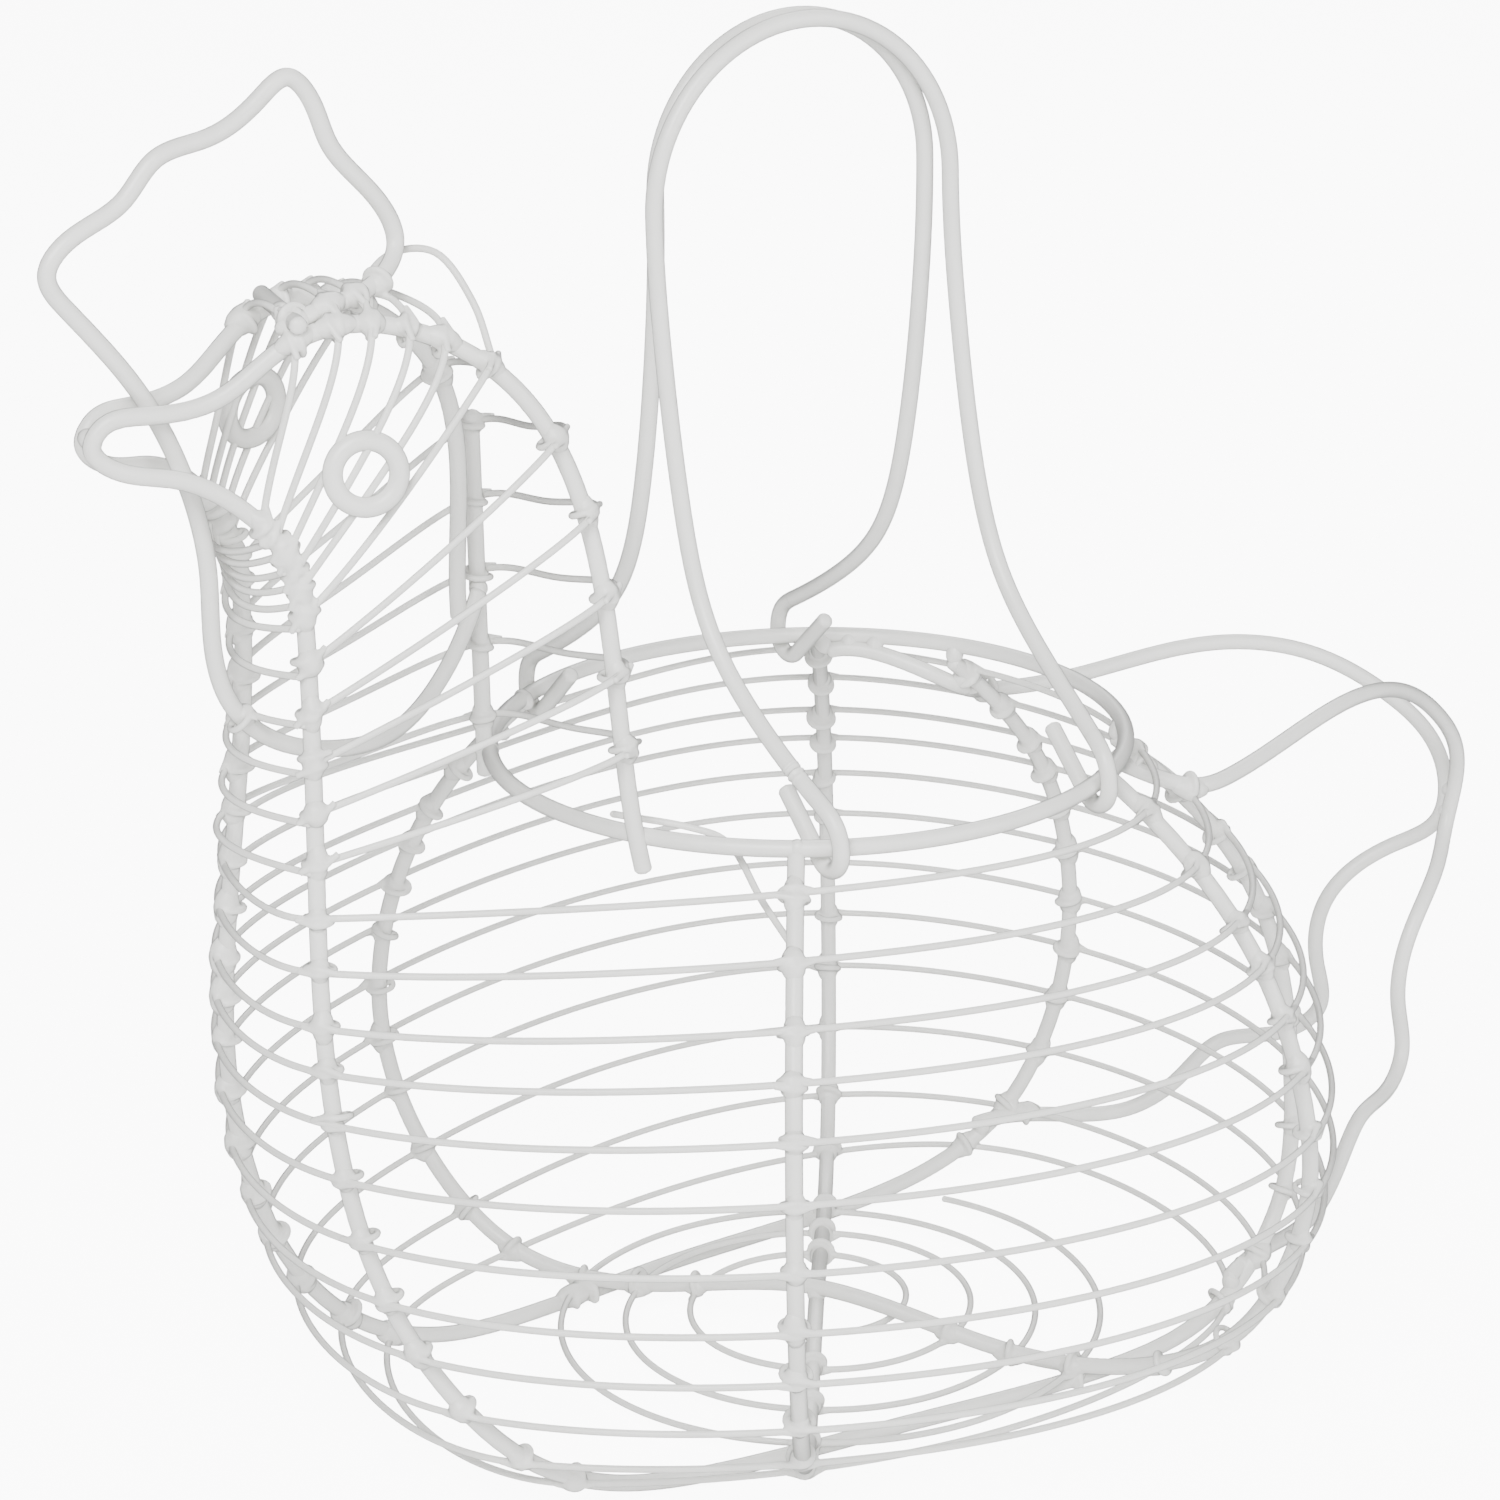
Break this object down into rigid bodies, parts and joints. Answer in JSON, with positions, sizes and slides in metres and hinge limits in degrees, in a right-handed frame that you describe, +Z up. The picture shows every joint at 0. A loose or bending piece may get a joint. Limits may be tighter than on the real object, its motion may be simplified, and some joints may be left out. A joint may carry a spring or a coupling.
{
  "type": "egg collection basket",
  "caption": "Hen-shaped open basket of coated steel wire for collecting eggs, with a round rim and a pair of swinging bail handles.",
  "frame": {"origin": "on the resting plane, under the middle of the round rim", "axes": "+Z up, -Y the way the hen looks, +X the hen's left side"},
  "size_m": [0.2059, 0.3265, 0.282],
  "materials": {
    "frame_wire": "thick satin off-white dip coating",
    "winding_wire": "thick satin off-white dip coating"
  },
  "bodies": {
    "basket": {"base_spiral": "winding_wire", "body_ring_01": "winding_wire", "body_ring_02": "winding_wire", "body_ring_03": "winding_wire", "body_ring_04": "winding_wire", "body_ring_05": "winding_wire", "body_ring_06": "winding_wire", "body_ring_07": "winding_wire", "body_ring_08": "winding_wire", "body_ring_09": "winding_wire", "body_ring_10": "winding_wire", "body_ring_11": "winding_wire", "body_ring_12": "winding_wire", "comb_wattle_wire": "frame_wire", "head_bar": "frame_wire", "head_loop_1": "winding_wire", "head_loop_2": "winding_wire", "head_loop_3": "winding_wire", "head_loop_4": "winding_wire", "head_loop_5": "winding_wire", "left_eye_ring": "frame_wire", "left_profile_wire": "frame_wire", "left_tail_wire": "frame_wire", "lower_diagonal_rib": "frame_wire", "neck_ring_1": "winding_wire", "neck_ring_2": "winding_wire", "neck_ring_3": "winding_wire", "neck_ring_4": "winding_wire", "neck_ring_5": "winding_wire", "neck_ring_6": "winding_wire", "right_eye_ring": "frame_wire", "right_neck_post": "frame_wire", "right_profile_wire": "frame_wire", "right_tail_wire": "frame_wire", "rim_ring": "frame_wire", "upper_diagonal_rib": "frame_wire"},
    "left_handle_body": {"left_handle": "frame_wire"},
    "right_handle_body": {"right_handle": "frame_wire"}
  },
  "joints": [
    {"name": "left_handle_swing", "type": "hinge", "parent": "basket", "child": "left_handle_body", "pos_m": [0.05545, 0, 0.134], "axis": [0, 1, 0], "range_deg": [0, 100]},
    {"name": "right_handle_swing", "type": "hinge", "parent": "basket", "child": "right_handle_body", "pos_m": [-0.05545, 0, 0.134], "axis": [0, -1, 0], "range_deg": [0, 94]}
  ]
}
